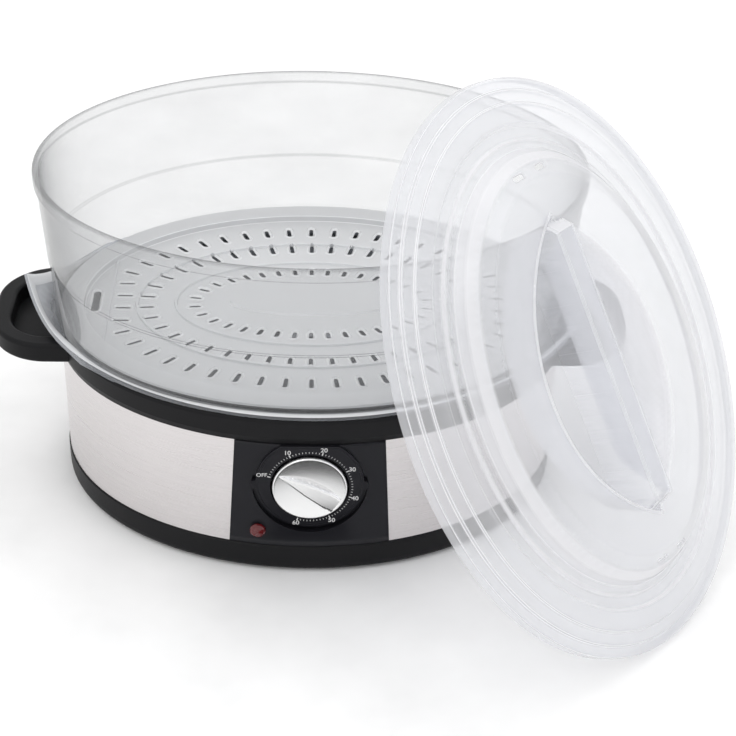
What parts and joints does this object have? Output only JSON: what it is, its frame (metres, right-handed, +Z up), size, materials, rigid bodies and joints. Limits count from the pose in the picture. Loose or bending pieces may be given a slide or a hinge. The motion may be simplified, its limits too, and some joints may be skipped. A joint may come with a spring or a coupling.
{
  "type": "electric food steamer",
  "caption": "Oval electric food steamer: water base with timer knob, drip tray, clear slotted basket, and a domed lid leaning against it.",
  "frame": {"origin": "middle of the oval base, on the plane of its four feet", "axes": "+X along the long side of the base towards the right handle, -Y towards the front with the dial, +Z up"},
  "size_m": [0.4363, 0.3627, 0.2804],
  "materials": {
    "black_plastic": "satin black moulding",
    "panel_black": "semi-gloss black",
    "brushed_steel": "horizontally brushed sheet",
    "clear_plastic": "clear moulded polycarbonate",
    "milky_plastic": "milky translucent polypropylene",
    "tray_plastic": "translucent moulded tray",
    "silver_knob": "satin silver coating",
    "red_lens": "clear red lens",
    "lamp_glass": "neon lamp",
    "bright_steel": "stainless tube",
    "zinc_steel": "zinc plated",
    "brass": "plain brass",
    "seal_rubber": "silicone",
    "foot_rubber": "matt rubber",
    "wire_insulation": "heat-proof sleeve",
    "block_plastic": "moulded nylon"
  },
  "bodies": {
    "base": {"lower_housing": "black_plastic", "bottom_plate": "black_plastic", "feet": "foot_rubber", "bottom_screws": "zinc_steel", "steel_band": "brushed_steel", "water_tank": "black_plastic", "left_handle": "black_plastic", "right_handle": "black_plastic", "handle_screws": "zinc_steel", "control_panel": "panel_black", "dial_plate": "panel_black", "pilot_lens": "red_lens", "pilot_lamp": "lamp_glass", "timer_case": "zinc_steel", "timer_bell": "zinc_steel", "timer_bracket": "zinc_steel", "timer_screws": "zinc_steel", "heating_element": "bright_steel", "element_seals": "seal_rubber", "element_nuts": "brass", "thermal_cutout": "block_plastic", "cutout_clip": "zinc_steel", "terminal_block": "block_plastic", "terminal_screws": "brass", "internal_wires": "wire_insulation", "cord_gland": "foot_rubber"},
    "knob": {"timer_shaft": "brass", "timer_knob": "silver_knob"},
    "collar": {"steam_collar": "milky_plastic"},
    "tray": {"drip_tray": "tray_plastic"},
    "basket": {"basket_wall": "clear_plastic", "basket_floor": "tray_plastic"},
    "lid": {"lid": "milky_plastic"}
  },
  "joints": [
    {"name": "timer_turn", "type": "hinge", "parent": "base", "child": "knob", "pos_m": [0, -0.1119, 0.0636], "axis": [0, 1, 0], "range_deg": [0, 270]},
    {"name": "collar_lift", "type": "slide", "parent": "base", "child": "collar", "axis": [0, 0, 1], "range_m": [0, 0.008]},
    {"name": "tray_lift", "type": "slide", "parent": "base", "child": "tray", "axis": [0, 0, 1], "range_m": [0, 0.12]},
    {"name": "basket_lift", "type": "slide", "parent": "tray", "child": "basket", "axis": [0, 0, 1], "range_m": [0, 0.12]},
    {"name": "lid_lift", "type": "slide", "parent": "basket", "child": "lid", "axis": [0, 0, 1], "range_m": [0, 0.15]}
  ]
}
